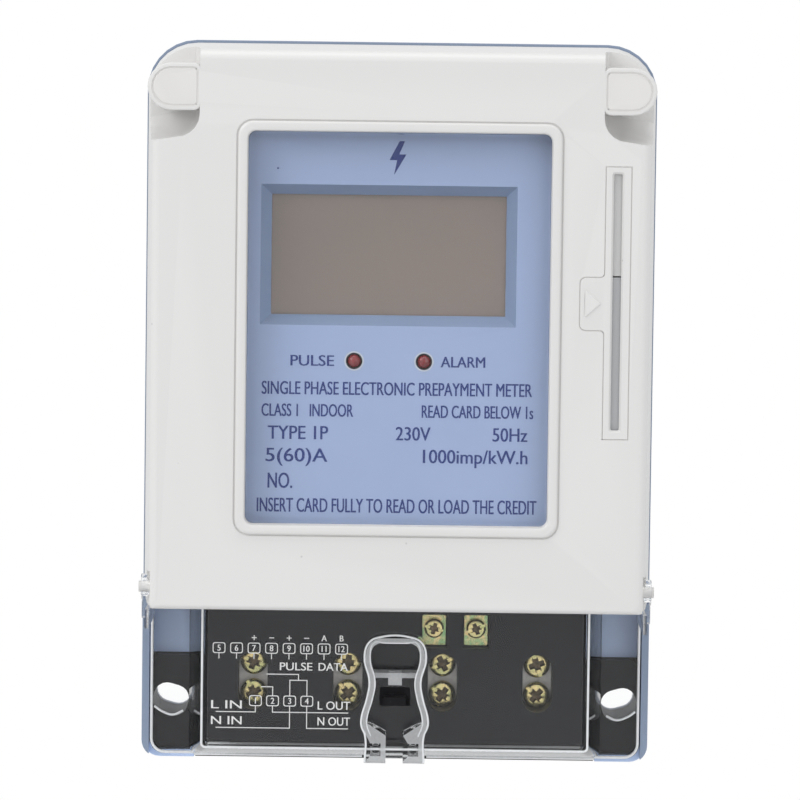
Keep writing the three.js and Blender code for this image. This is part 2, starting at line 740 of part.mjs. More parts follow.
// A pan-head screw with a cross recess and a straight slot; its head stands on z = 0.
function screw(headRadius, headHeight, shankRadius, length) {
  const dome = headHeight * 0.35;
  const profile = [
    [0, -length], [shankRadius * 0.8, -length], [shankRadius, -length + 0.6], [shankRadius, 0],
    [headRadius, 0], [headRadius, headHeight - dome], [headRadius * 0.85, headHeight - dome * 0.35],
    [headRadius * 0.55, headHeight], [0, headHeight],
  ].map(([r, z]) => new THREE.Vector2(r, z));
  const body = new THREE.LatheGeometry(profile, 18).rotateX(QUARTER);
  const arm = headRadius * 0.62;
  const thin = headRadius * 0.13;
  const deep = headHeight * 0.45;
  const recess = joined(
    box(-arm, arm, -thin, thin, deep, headHeight + 1),
    box(-thin, thin, -arm, arm, deep, headHeight + 1),
  );
  return geometryOf(solid(body).subtract(recess));
}

function auxTerminal() {
  const { half, below, above, thick } = AUX_PLATE;
  const plate = prism(roundedRectangle(-half, half, -below, above, 0.4, 2), 0, thick);
  return cut(plate, prism(circle(0, 0, 1.4, 12), -1, thick + 1));
}

// ---- terminal cover: clear, hinged at its top corners ----

// Section of the raised middle part at one height above the wall; it narrows towards the front.
function coverSection(z, margin, top) {
  const forward = (z - COVER_FLANGE) / (COVER_FACE - COVER_FLANGE);
  const half = THREE.MathUtils.lerp(46.1, 42.5, forward) + margin;
  const bottom = THREE.MathUtils.lerp(COVER_BOTTOM, -74.9, forward) - margin;
  return roundedRectangle(-half, half, bottom, top, [2 + margin, 0.2, 0.2, 2 + margin], 4);
}

function raisedPanel() {
  const round = 0.9;
  const outer = loft([
    { outline: coverSection(COVER_FLANGE - 1.6, 0, COVER_TOP), z: COVER_FLANGE - 1.6 },
    { outline: coverSection(COVER_FACE - round, 0, COVER_TOP), z: COVER_FACE - round },
    { outline: coverSection(COVER_FACE, -round * 0.35, COVER_TOP), z: COVER_FACE - round * 0.3 },
    { outline: coverSection(COVER_FACE, -round, COVER_TOP), z: COVER_FACE },
  ]);
  const inner = loft([COVER_FLANGE - 2, COVER_FACE - COVER_SKIN].map((z) => (
    { outline: coverSection(z, -COVER_SKIN, COVER_TOP + 5), z }
  )));
  return { outer, inner };
}

// Right half of the sealing well's outline, from the middle of its arch down to the neck.
function wellOutline(margin, neck) {
  const side = new THREE.SplineCurve([
    [3.6, -49.8], [5.9, -51.1], [6.9, -54.2], [6.35, -57.2], [5.75, -59.9],
    [6.3, -63.6], [7.2, -66.8], [7.45, -68],
  ].map(([x, y]) => new THREE.Vector2(x, y))).getSpacedPoints(18);
  const right = [...side, ...neck.map(([x, y]) => new THREE.Vector2(x, y))];
  const left = mirrored(right);
  const outline = [...right.reverse(), ...left.reverse()];
  return outset(outline, margin);
}

function sealingWell() {
  const floorBack = 38.6;
  const floorFront = 40;
  const front = COVER_FACE + 0.6;
  const wall = 1.4;
  const foot = -77.8;
  const neckHalf = 1.9;
  const outline = wellOutline(0, [[7.4, -69.6], [6.6, -71.6], [6.6, foot]]);
  const body = joined(
    loft([
      { outline, z: floorBack },
      { outline, z: front - 0.5 },
      { outline: outset(outline, -0.35), z: front },
    ]),
  );
  const neck = [[7.4, -69.7], [neckHalf + wall, -72.4], [neckHalf + wall, foot - 3]];
  const recess = wellOutline(-wall, neck);
  let well = body.subtract(solid(prism(recess, floorFront, front + 1)));

  const inside = 5.4;
  const ledge = { bottom: -59.2, top: -58.1, front: 46 };
  const eye = { half: 1.4, back: 42.4, front: 44.4 };
  const hookWindow = { half: 3.4, bottom: -66.3, top: -62 };
  well = well.add(solid(box(-inside, inside, ledge.bottom, ledge.top, floorBack, ledge.front)));
  const eyeHole = box(-eye.half, eye.half, ledge.bottom - 1, ledge.top + 1, eye.back, eye.front);
  well = well.subtract(solid(eyeHole));
  const lug = box(-1.5, 1.5, ledge.bottom - 1.6, ledge.bottom + 0.2, ledge.front - 1, ledge.front);
  well = well.add(solid(lug));
  well = well.add(solid(box(-2.1, 2.1, ledge.top + 0.5, ledge.top + 1.7, floorBack, floorFront + 1)));
  well = well.subtract(solid(box(
    -hookWindow.half, hookWindow.half, hookWindow.bottom, hookWindow.top, floorBack - 1, floorFront + 1,
  )));

  for (const side of [-1, 1]) {
    const near = side > 0 ? 3 : -5.3;
    well = well.subtract(solid(box(near, near + 2.3, -76.2, -73.4, floorFront, front + 1)));
    well = well.add(solid(prism(circle(side * 4.1, -75.2, 0.9, 10), floorBack, 45)));
  }
  return { well, opening: prism(outset(outline, -0.4), floorBack - 1, front + 1) };
}

// Arm and round ear at one side, drawn in the plane of the swing and set along x.
function hingeArm(side) {
  const near = 53.9;
  const arm = {
    far: FLANGE_HALF, top: COVER_TOP, bottom: COVER_TOP - 3.9, back: COVER_FLANGE - 1.6, front: HINGE.z + 1.6,
  };
  const ear = side > 0
    ? barAlongX(near, EAR_OUTSIDE, HINGE.y, HINGE.z, HINGE.ear, 22)
    : barAlongX(-EAR_OUTSIDE, -near, HINGE.y, HINGE.z, HINGE.ear, 22);
  const band = side > 0
    ? box(near, arm.far, arm.bottom, arm.top, arm.back, arm.front)
    : box(-arm.far, -near, arm.bottom, arm.top, arm.back, arm.front);
  const neck = side > 0
    ? box(near, EAR_OUTSIDE - 0.2, arm.top - 1.5, HINGE.y, HINGE.z - 2, HINGE.z + 2)
    : box(-EAR_OUTSIDE + 0.2, -near, arm.top - 1.5, HINGE.y, HINGE.z - 2, HINGE.z + 2);
  const hole = barAlongX(side * 55 - 3, side * 55 + 3, HINGE.y, HINGE.z, HINGE.pin + GAP, 16);
  return joined(ear, band, neck).subtract(solid(hole));
}

function terminalCover() {
  const { outer, inner } = raisedPanel();
  const flange = prism(
    roundedRectangle(-FLANGE_HALF, FLANGE_HALF, COVER_BOTTOM, COVER_TOP - 0.3, [3.2, 0.5, 0.5, 3.2], 5),
    COVER_FLANGE - 1.6,
    COVER_FLANGE,
  );
  const { well, opening } = sealingWell();
  let body = joined(outer, flange).subtract(solid(inner));
  body = body.subtract(solid(opening)).add(well);
  for (const side of [-1, 1]) {
    body = body.add(hingeArm(side));
  }
  return geometryOf(body);
}

// ---- screw caps and case screws ----

function screwCap(side) {
  const front = FRONT - 0.1;
  return loft([
    { outline: postOutline(side, 0), z: CAP_SEAT + GAP },
    { outline: postOutline(side, 0), z: front - 0.3 },
    { outline: postOutline(side, -0.25), z: front },
  ]);
}

// ---- build ----

add('base_tub', tub(), 'tub');
add('front_housing', frontHousing(), 'housing');
add('window_lens', windowLens(), 'clear');
add('nameplate', nameplate(), 'nameplate');
add('lcd_glass', displayGlass(), 'display');
add('lcd_frame', displayFrame(), 'housing');
add('display_board', displayBoard(), 'board');
for (const [name, x] of Object.entries(LED_PLACES)) {
  add(name, led(), 'led', x, LED_LEVEL, 0);
}
add('slot_bezel', slotBezel(), 'housing');
for (const part of ['upper', 'lower']) {
  add(`card_seal_${part}`, cardSeal(part), 'reader');
}
add('card_reader', cardReader(), 'reader');

add('main_board', mainBoard(), 'board');
add('current_transformer', currentTransformer(), 'grey');
add('electrolytic_capacitor', standingCan(22, 20, 5, 16), 'blue');
add('battery_cell', standingCan(-2, 30, 7.2, 20), 'grey');
add('film_capacitor', box(8, 26, -6, 2, BOARD_FRONT + GAP, BOARD_FRONT + 13), 'yellow');
add('relay', box(-34, -14, 10, 36, BOARD_FRONT + GAP, BOARD_FRONT + 15), 'black');

add('terminal_block', terminalBlock(), 'black');
TERMINALS.forEach((x, i) => {
  add(`terminal_${i + 1}`, terminal(), 'zinc', x, 0, 0);
  add(`busbar_${i + 1}`, busbar(), 'copper', x, 0, 0);
  for (const [place, step] of [['upper', 1], ['lower', -1]]) {
    const y = TERMINAL_MIDDLE + (step * SCREW_SPACING) / 2;
    add(`terminal_screw_${i + 1}_${place}`, screw(2.95, 2.2, 1.55, 9.5), 'brass', x, y, TERMINAL_FACE);
  }
});
AUX_TERMINALS.forEach((x, i) => {
  add(`aux_terminal_${i + 1}`, auxTerminal(), 'brass', x, AUX_LEVEL, AUX_FACE - AUX_PLATE.thick);
  add(`aux_screw_${i + 1}`, screw(2.2, 1.7, 1.1, 6.5), 'brass', x, AUX_LEVEL, AUX_FACE + GAP);
});
add('terminal_cover', terminalCover(), 'clear');

for (const [name, side] of [['left', -1], ['right', 1]]) {
  add(`screw_cap_${name}`, screwCap(side), 'housing');
  add(`case_screw_${name}`, screw(3, 2.4, 1.55, 30), 'zinc', side * POST.x, POST.y, 44 + GAP);
}

export default meter;
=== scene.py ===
"""The looks of a prepaid electricity meter with a card slot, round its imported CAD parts.

Everything is in metres: x to the right, y into the wall and z up, so the front faces -y.
"""

import math

import bmesh
import bpy
from mathutils import Matrix, Vector


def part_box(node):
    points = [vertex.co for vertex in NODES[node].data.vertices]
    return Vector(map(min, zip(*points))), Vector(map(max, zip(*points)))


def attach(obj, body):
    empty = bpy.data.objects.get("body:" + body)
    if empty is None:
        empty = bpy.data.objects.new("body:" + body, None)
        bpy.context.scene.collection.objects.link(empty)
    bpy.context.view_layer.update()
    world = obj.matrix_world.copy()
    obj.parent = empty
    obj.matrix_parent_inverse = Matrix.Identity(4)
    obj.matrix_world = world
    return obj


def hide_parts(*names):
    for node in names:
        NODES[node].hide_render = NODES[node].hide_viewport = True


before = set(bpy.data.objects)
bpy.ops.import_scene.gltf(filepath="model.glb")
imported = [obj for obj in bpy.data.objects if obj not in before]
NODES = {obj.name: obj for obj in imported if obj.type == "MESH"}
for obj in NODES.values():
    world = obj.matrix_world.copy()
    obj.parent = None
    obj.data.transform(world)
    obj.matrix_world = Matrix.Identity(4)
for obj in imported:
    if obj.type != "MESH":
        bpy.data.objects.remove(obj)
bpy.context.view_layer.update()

MM = 0.001
CASE = "case"
COVER = "cover"
ARROW_RISE = 0.25 * MM
FRONT_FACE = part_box("slot_bezel")[0].y + ARROW_RISE  # the flat front of the case
COVER_FACE = FRONT_FACE + 9.2 * MM  # the raised panel of the clear cover
FLANGE_FACE = COVER_FACE + 22 * MM  # the cover's flange, near the wall


# ---- camera, light and floor ----

def camera():
    """The main view: level with the top of the meter, looking slightly down."""
    aside = 0.3 * MM
    distance = 1.0933
    height = 0.0744
    look_down = math.radians(3.95)
    roll = math.radians(0.73)
    data = bpy.data.cameras.new("camera")
    data.sensor_width = 36
    data.lens = 215.7
    data.clip_start = 0.05
    camera_object = bpy.data.objects.new("camera", data)
    tilt = Matrix.Rotation(math.pi / 2 - look_down, 4, "X")
    place = Matrix.Translation((aside, -distance, height))
    camera_object.matrix_world = place @ tilt @ Matrix.Rotation(roll, 4, "Z")
    bpy.context.scene.collection.objects.link(camera_object)
    bpy.context.scene.camera = camera_object


def soft_light(name, place, size, power):
    """A square soft box that points at the meter's middle."""
    data = bpy.data.lights.new(name, "AREA")
    data.shape = "SQUARE"
    data.size = size
    data.energy = power
    light = bpy.data.objects.new(name, data)
    light.location = place
    light.rotation_euler = (-Vector(place)).to_track_quat("-Z", "Y").to_euler()
    bpy.context.scene.collection.objects.link(light)


def surroundings():
    """White all round: bright where it is seen, also through clear plastic, and a softer fill."""
    world = bpy.data.worlds.new("studio")
    bpy.context.scene.world = world
    world.use_nodes = True
    nodes = world.node_tree.nodes
    links = world.node_tree.links
    seen = nodes["Background"]
    seen.inputs["Color"].default_value = (1, 1, 1, 1)
    seen.inputs["Strength"].default_value = 1.0
    fill = nodes.new("ShaderNodeBackground")
    fill.inputs["Color"].default_value = (0.97, 0.985, 1, 1)
    fill.inputs["Strength"].default_value = 0.76
    path = nodes.new("ShaderNodeLightPath")
    either = nodes.new("ShaderNodeMath")
    either.operation = "MAXIMUM"
    links.new(path.outputs["Is Camera Ray"], either.inputs[0])
    links.new(path.outputs["Is Transmission Ray"], either.inputs[1])
    mix = nodes.new("ShaderNodeMixShader")
    links.new(either.outputs[0], mix.inputs[0])
    links.new(fill.outputs[0], mix.inputs[1])
    links.new(seen.outputs[0], mix.inputs[2])
    links.new(mix.outputs[0], nodes["World Output"].inputs["Surface"])
    bpy.context.scene.view_settings.view_transform = "Standard"


def studio_floor():
    """A plain pale floor, well below the meter, which hangs on a wall."""
    drop = 0.35
    half = 1.5
    corners = [(-half, -half, 0), (half, -half, 0), (half, half, 0), (-half, half, 0)]
    mesh = bpy.data.meshes.new("floor")
    mesh.from_pydata([Vector(c) - Vector((0, 0, drop)) for c in corners], [], [(0, 1, 2, 3)])
    floor = bpy.data.objects.new("floor", mesh)
    recipe = Recipe("floor_paint")
    recipe.colour(recipe.blend(recipe.noise(0.2), (0.83, 0.83, 0.83), (0.86, 0.86, 0.86)))
    recipe.set("Roughness", 0.8)
    mesh.materials.append(recipe.material)
    bpy.context.scene.collection.objects.link(floor)


# ---- material building blocks ----

class Recipe:
    """The nodes of one material. Each method adds what it names and gives back its output."""

    def __init__(self, name):
        self.material = bpy.data.materials.new(name)
        self.material.use_nodes = True
        self.tree = self.material.node_tree
        self.shader = self.tree.nodes["Principled BSDF"]
        self.points = self.add("ShaderNodeTexCoord").outputs["Object"]

    def add(self, kind):
        return self.tree.nodes.new(kind)

    def link(self, output, socket):
        self.tree.links.new(output, socket)

    def feed(self, value, socket):
        """Links an output, or sets a plain number or colour."""
        if isinstance(value, bpy.types.NodeSocket):
            self.link(value, socket)
        elif isinstance(value, tuple):
            socket.default_value = (*value, 1)
        else:
            socket.default_value = value

    def set(self, socket, value):
        self.shader.inputs[socket].default_value = value

    def colour(self, value):
        self.feed(value, self.shader.inputs["Base Color"])

    def roughness(self, value, smooth, rough):
        self.link(self.scaled(value, smooth, rough), self.shader.inputs["Roughness"])

    def spread(self, size, stretch):
        mapping = self.add("ShaderNodeMapping")
        mapping.inputs["Scale"].default_value = [1 / (size * s) for s in stretch]
        self.link(self.points, mapping.inputs["Vector"])
        return mapping.outputs["Vector"]

    def noise(self, size, detail=2.0, stretch=(1, 1, 1)):
        """Soft blotches about size metres across, from 0 to 1."""
        node = self.add("ShaderNodeTexNoise")
        node.inputs["Scale"].default_value = 1
        node.inputs["Detail"].default_value = detail
        self.link(self.spread(size, stretch), node.inputs["Vector"])
        return node.outputs["Fac"]

    def specks(self, size, share):
        """1 inside small scattered spots; share is how much of each cell a spot fills."""
        node = self.add("ShaderNodeTexVoronoi")
        node.inputs["Scale"].default_value = 1
        self.link(self.spread(size, (1, 1, 1)), node.inputs["Vector"])
        return self.scaled(node.outputs["Distance"], 1, 0, share * 0.6, share)

    def scaled(self, value, low, high, start=0.0, end=1.0):
        node = self.add("ShaderNodeMapRange")
        node.inputs["From Min"].default_value = start
        node.inputs["From Max"].default_value = end
        node.inputs["To Min"].default_value = low
        node.inputs["To Max"].default_value = high
        self.link(value, node.inputs["Value"])
        return node.outputs["Result"]

    def product(self, first, second):
        node = self.add("ShaderNodeMath")
        node.operation = "MULTIPLY"
        self.feed(first, node.inputs[0])
        self.feed(second, node.inputs[1])
        return node.outputs["Value"]

    def blend(self, share, first, second):
        """A colour between two, by share."""
        node = self.add("ShaderNodeMix")
        node.data_type = "RGBA"
        self.feed(share, node.inputs[0])
        self.feed(first, node.inputs[6])
        self.feed(second, node.inputs[7])
        return node.outputs[2]

    def edges(self, low=0.5, high=0.6):
        """1 on the sharp outer edges, 0 elsewhere."""
        return self.scaled(self.add("ShaderNodeNewGeometry").outputs["Pointiness"], 0, 1, low, high)

    def upward(self):
        """1 where the surface faces up, where dust settles."""
        split = self.add("ShaderNodeSeparateXYZ")
        self.link(self.add("ShaderNodeNewGeometry").outputs["Normal"], split.inputs["Vector"])
        return self.scaled(split.outputs["Z"], 0, 1, 0.6, 1)

    def bump(self, height, depth):
        """A relief of the given depth in metres, on top of any relief already there."""
        node = self.add("ShaderNodeBump")
        node.inputs["Distance"].default_value = depth
        self.link(height, node.inputs["Height"])
        previous = self.shader.inputs["Normal"]
        if previous.is_linked:
            self.link(previous.links[0].from_socket, node.inputs["Normal"])
        self.link(node.outputs["Normal"], previous)

    def let_lamps_through(self):
        """Clear plastic: lamp light passes straight through, so what is behind it is lit."""
        path = self.add("ShaderNodeLightPath")
        clear = self.add("ShaderNodeBsdfTransparent")
        mix = self.add("ShaderNodeMixShader")
        self.link(path.outputs["Is Shadow Ray"], mix.inputs[0])
        self.link(self.shader.outputs["BSDF"], mix.inputs[1])
        self.link(clear.outputs["BSDF"], mix.inputs[2])
        self.link(mix.outputs["Shader"], self.tree.nodes["Material Output"].inputs["Surface"])


def darker(colour, share):
    return tuple(channel * share for channel in colour)


def moulded_plastic(name, colour, smooth=0.36, rough=0.5):
    """Injection-moulded plastic: faint flow shades, fine grain, worn edges and a little dust."""
    grain = 0.12 * MM
    dust = 0.15
    recipe = Recipe(name)
    flow = recipe.blend(recipe.noise(22 * MM, 4, (1, 1, 2.5)), darker(colour, 0.97), colour)
    worn = recipe.blend(recipe.product(recipe.edges(), 0.35), flow, darker(colour, 1.08))
    marks = recipe.blend(recipe.product(recipe.specks(9 * MM, 0.035), 0.5), worn, darker(colour, 0.6))
    settled = recipe.product(recipe.product(recipe.upward(), recipe.noise(2 * MM, 5)), dust)
    recipe.colour(recipe.blend(settled, marks, (0.42, 0.4, 0.37)))
    recipe.roughness(recipe.noise(6 * MM, 6), smooth, rough)
    recipe.bump(recipe.noise(grain, 2), 0.006 * MM)
    recipe.bump(recipe.noise(30 * MM, 1), 0.05 * MM)
    return recipe.material


# ---- materials ----

def housing_plastic():
    return moulded_plastic("warm_white_plastic", (0.76, 0.75, 0.738))


def cap_plastic():
    return moulded_plastic("cap_plastic", (0.755, 0.74, 0.72), 0.4, 0.55)


def tub_plastic():
    return moulded_plastic("blue_grey_plastic", (0.262, 0.325, 0.445), 0.3, 0.44)


def reader_plastic():
    return moulded_plastic("reader_plastic", (0.6, 0.6, 0.59), 0.45, 0.6)


def seal_plastic():
    return moulded_plastic("seal_plastic", (0.46, 0.465, 0.475), 0.45, 0.6)


def shelf_plastic():
    """Painted light: the tub's inner shelf, polished and in a much lighter blue that stands in for the light
    reaching it through the clear cover.
    """
    return moulded_plastic("shelf_painted_light_blue", (0.56, 0.7, 1.0), 0.25, 0.35)


def grey_plastic():
    return moulded_plastic("grey_plastic", (0.3, 0.3, 0.31), 0.4, 0.6)


def yellow_plastic():
    return moulded_plastic("yellow_plastic", (0.72, 0.45, 0.05), 0.3, 0.45)


def blue_sleeve():
    return moulded_plastic("blue_sleeve", (0.03, 0.08, 0.32), 0.25, 0.4)


def relay_plastic():
    return moulded_plastic("relay_plastic", (0.02, 0.02, 0.022), 0.35, 0.5)


def block_plastic():
    """Black thermoset plastic, slightly dusty, with pale filler specks."""
    recipe = Recipe("black_thermoset")
    base = recipe.blend(recipe.noise(5 * MM, 5), (0.009, 0.009, 0.011), (0.015, 0.015, 0.018))
    filler = recipe.product(recipe.specks(0.9 * MM, 0.16), recipe.noise(4 * MM, 2))
    speckled = recipe.blend(recipe.product(filler, 0.3), base, (0.2, 0.2, 0.2))
    dust = recipe.product(recipe.product(recipe.upward(), recipe.noise(1.5 * MM, 5)), 0.2)
    recipe.colour(recipe.blend(dust, speckled, (0.2, 0.19, 0.18)))
    recipe.set("Specular IOR Level", 0.14)
    recipe.roughness(recipe.noise(3 * MM, 6), 0.3, 0.5)
    recipe.bump(recipe.noise(0.4 * MM, 3), 0.004 * MM)
    return recipe.material


def clear_plastic(name, haze_low, haze_high):
    """Clear polycarbonate with fine scratches and a trace of haze."""
    recipe = Recipe(name)
    recipe.colour(recipe.blend(recipe.noise(12 * MM, 3), (0.985, 0.99, 0.99), (0.965, 0.975, 0.98)))
    recipe.set("Transmission Weight", 1.0)
    recipe.set("IOR", 1.34)
    recipe.roughness(recipe.noise(7 * MM, 6), haze_low, haze_high)
    recipe.bump(recipe.noise(0.6 * MM, 2, (0.15, 1, 6)), 0.002 * MM)
    recipe.bump(recipe.noise(14 * MM, 1), 0.03 * MM)
    recipe.let_lamps_through()
    return recipe.material


def frosted_plastic():
    """The same plastic with a rough mould face, which looks pale grey."""
    recipe = Recipe("frosted_plastic")
    recipe.colour(recipe.blend(recipe.noise(0.5 * MM, 3), (0.6, 0.61, 0.62), (0.85, 0.86, 0.87)))
    recipe.set("Transmission Weight", 0.5)
    recipe.set("IOR", 1.56)
    recipe.roughness(recipe.noise(1 * MM, 4), 0.35, 0.6)
    recipe.bump(recipe.noise(0.3 * MM, 3), 0.03 * MM)
    recipe.let_lamps_through()
    return recipe.material


def plate_sheet():
    """Pale blue printed nameplate, a little darker in soft blotches."""
    recipe = Recipe("plate_blue")
    recipe.colour(recipe.blend(recipe.noise(16 * MM, 3), (0.322, 0.41, 0.635), (0.352, 0.438, 0.66)))
    recipe.roughness(recipe.noise(4 * MM, 5), 0.35, 0.5)
    recipe.bump(recipe.noise(0.2 * MM, 2), 0.004 * MM)
    return recipe.material


def display_frame_blue():
    # Painted shade: a darker blue on the sloping frame round the display, for the shade in its recess.
    return moulded_plastic("display_frame_blue", (0.215, 0.29, 0.45), 0.3, 0.42)


def lcd_sheet():
    """The switched-off display: a taupe reflector behind glass, with fine row lines."""
    recipe = Recipe("lcd_taupe")
    shade = recipe.blend(recipe.noise(18 * MM, 2), (0.21, 0.168, 0.14), (0.237, 0.182, 0.16))
    rows = recipe.noise(0.25 * MM, 1, (60, 1, 1))
    recipe.colour(recipe.blend(recipe.product(rows, 0.15), shade, (0.15, 0.14, 0.13)))
    recipe.roughness(recipe.noise(8 * MM, 3), 0.2, 0.3)
    recipe.set("Coat Weight", 0.6)
    recipe.set("Coat Roughness", 0.08)
    recipe.bump(recipe.noise(5 * MM, 2), 0.004 * MM)
    return recipe.material


def led_resin():
    """Dark red clear resin."""
    recipe = Recipe("led_red_resin")
    recipe.colour(recipe.blend(recipe.noise(0.8 * MM, 2), (0.11, 0.002, 0.004), (0.3, 0.006, 0.01)))
    recipe.set("IOR", 1.52)
    recipe.set("Coat Weight", 0.5)
    recipe.roughness(recipe.noise(1 * MM, 2), 0.1, 0.22)
    recipe.bump(recipe.noise(0.7 * MM, 2), 0.004 * MM)
    return recipe.material


def metal(name, colour, second, smooth, rough, brushed=(1, 1, 1), patch=1.2 * MM, shine=1.0):
    """Plated metal: two tones in patches, a fine brushed grain and darker stains."""
    recipe = Recipe(name)
    tone = recipe.blend(recipe.scaled(recipe.noise(patch, 4), 0, 1, 0.35, 0.65), colour, second)
    stain = recipe.product(recipe.scaled(recipe.noise(0.9 * MM, 6), 0, 1, 0.55, 0.75), 0.25)
    recipe.colour(recipe.blend(stain, tone, darker(colour, 0.3)))
    recipe.set("Metallic", shine)
    recipe.roughness(recipe.noise(0.8 * MM, 5), smooth, rough)
    recipe.bump(recipe.noise(0.1 * MM, 2, brushed), 0.008 * MM)
    return recipe.material


def brass():
    return metal(
        "passivated_brass", (0.85, 0.68, 0.33), (0.56, 0.56, 0.26), 0.16, 0.3,
        patch=2.5 * MM, shine=0.9,
    )


def recess_brown():
    """Painted shade: dark brown metal on the faces inside a screw's recess."""
    return metal("recess_brown", (0.2, 0.14, 0.07), (0.1, 0.075, 0.04), 0.3, 0.5, shine=0.5)


def aux_brass():
    """Brass plate with the green and rust shades of its plating."""
    return metal(
        "rainbow_brass", (0.8, 0.6, 0.3), (0.3, 0.5, 0.25), 0.15, 0.35,
        brushed=(1, 1, 6), patch=1.6 * MM, shine=0.8,
    )


def zinc():
    return metal(
        "zinc_plate", (0.95, 0.91, 0.87), (0.82, 0.79, 0.76), 0.3, 0.5,
        brushed=(6, 1, 1), shine=0.2,
    )


def copper():
    return metal("copper_bar", (0.75, 0.4, 0.26), (0.6, 0.3, 0.2), 0.25, 0.45, (1, 1, 8))


def circuit_board():
    """Green solder mask over tracks that show as faint raised lines."""
    recipe = Recipe("circuit_board")
    tracks = recipe.scaled(recipe.noise(1.2 * MM, 0, (5, 1, 1)), 0, 1, 0.5, 0.56)
    recipe.colour(recipe.blend(tracks, (0.008, 0.09, 0.035), (0.02, 0.17, 0.07)))
    recipe.roughness(recipe.noise(2 * MM, 3), 0.25, 0.4)
    recipe.bump(tracks, 0.03 * MM)
    return recipe.material


def edge_plastic():
    """Painted highlight: pale, slightly glossy opaque plastic for beads that stand in for the bright edges
    of the clear plastic.
    """
    recipe = Recipe("edge_plastic")
    recipe.colour(recipe.blend(recipe.noise(3 * MM, 3), (0.7, 0.72, 0.74), (0.93, 0.94, 0.95)))
    recipe.set("Coat Weight", 0.6)
    recipe.roughness(recipe.noise(2 * MM, 3), 0.15, 0.35)
    recipe.bump(recipe.noise(0.5 * MM, 2), 0.01 * MM)
    return recipe.material


def ink(name, colour, low=0.45, high=0.65):
    """Screen-printed ink, slightly uneven; the same flat colour also makes the painted highlight and painted
    shade round the lamps.
    """
    recipe = Recipe(name)
    recipe.colour(recipe.blend(recipe.noise(0.5 * MM, 4), colour, darker(colour, 0.8)))
    recipe.roughness(recipe.noise(1 * MM, 3), low, high)
    recipe.bump(recipe.noise(0.15 * MM, 2), 0.004 * MM)
    return recipe.material


def dress(names, material):
    for name in names:
        mesh = NODES[name].data
        mesh.materials.clear()
        mesh.materials.append(material)


def dress_region(name, material, inside):
    """Gives another material to the faces that a test picks out."""
    mesh = NODES[name].data
    mesh.materials.append(material)
    for face in mesh.polygons:
        if inside(face):
            face.material_index = len(mesh.materials) - 1


def in_region(face, across, up, front):
    """Whether a face's middle is between two widths off the centre, two heights and before a depth."""
    middle = face.center / MM
    return across[0] < abs(middle.x) < across[1] and up[0] < middle.z < up[1] and middle.y < front


def display_slope(face):
    """The sloping frame round the display, which is neither flat nor upright."""
    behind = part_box("nameplate")[1].y - 0.5 * MM
    return face.center.y < behind and 0.2 < abs(face.normal.y) < 0.95


def tub_shelf(face):
    """The inner faces of the tub beside the terminal block."""
    return in_region(face, (44, 55.5), (-90, -40), -18)


def well_ledge(face):
    """The cross ledge and the lug inside the sealing well."""
    return in_region(face, (-1, 5.5), (-61, -57.9), -41)


def latch_foot(face):
    """The knobs and the foot of the sealing well."""
    return in_region(face, (-1, 6.4), (-90, -77), -38)


def dress_cad_parts():
    dress(["front_housing", "slot_bezel"], housing_plastic())
    dress(["screw_cap_left", "screw_cap_right"], cap_plastic())
    dress(["base_tub"], tub_plastic())
    # the tub's inner shelf gets a much lighter blue: painted light
    dress_region("base_tub", shelf_plastic(), tub_shelf)
    dress(["terminal_block"], block_plastic())
    dress(["terminal_cover"], clear_plastic("clear_cover_plastic", 0.0, 0.012))
    frosted = frosted_plastic()
    dress_region("terminal_cover", frosted, well_ledge)
    dress_region("terminal_cover", frosted, latch_foot)
    dress(["window_lens"], clear_plastic("clear_lens_plastic", 0.0, 0.03))
    dress(["nameplate"], plate_sheet())
    # the display's sloping frame gets a darker blue: painted shade
    dress_region("nameplate", display_frame_blue(), display_slope)
    dress(["lcd_glass"], lcd_sheet())
    dress(["lcd_frame"], grey_plastic())
    dress(["card_reader", "card_seal_upper"], reader_plastic())
    dress(["card_seal_lower"], seal_plastic())
    dress(["display_board", "main_board"], circuit_board())
    dress(["current_transformer", "battery_cell"], bpy.data.materials["grey_plastic"])
    dress(["electrolytic_capacitor"], blue_sleeve())
    dress(["film_capacitor"], yellow_plastic())
    dress(["relay"], relay_plastic())
    dress([f"terminal_{i}" for i in range(1, 5)] + ["case_screw_left", "case_screw_right"], zinc())
    dress([f"busbar_{i}" for i in range(1, 5)], copper())
    dress(["aux_terminal_1", "aux_terminal_2"], aux_brass())


# ---- rounded edges on the CAD parts ----

def soften(name, width, segments=2, angle=32):
    """Merges the facets of flat faces and rounds the sharp edges, without touching the mesh."""
    part = NODES[name]
    for polygon in part.data.polygons:
        polygon.use_smooth = True
    part.modifiers.new("merge", "WELD").merge_threshold = 0.002 * MM
    flat = part.modifiers.new("flat_faces", "DECIMATE")
    flat.decimate_type = "DISSOLVE"
    flat.angle_limit = math.radians(0.6)
    bevel = part.modifiers.new("round_edges", "BEVEL")
    bevel.width = width
    bevel.segments = segments
    bevel.limit_method = "ANGLE"
    bevel.angle_limit = math.radians(angle)
    bevel.miter_outer = "MITER_ARC"
    bevel.use_clamp_overlap = True
    shading = part.modifiers.new("flat_shading", "WEIGHTED_NORMAL")
    shading.keep_sharp = True
    shading.weight = 90


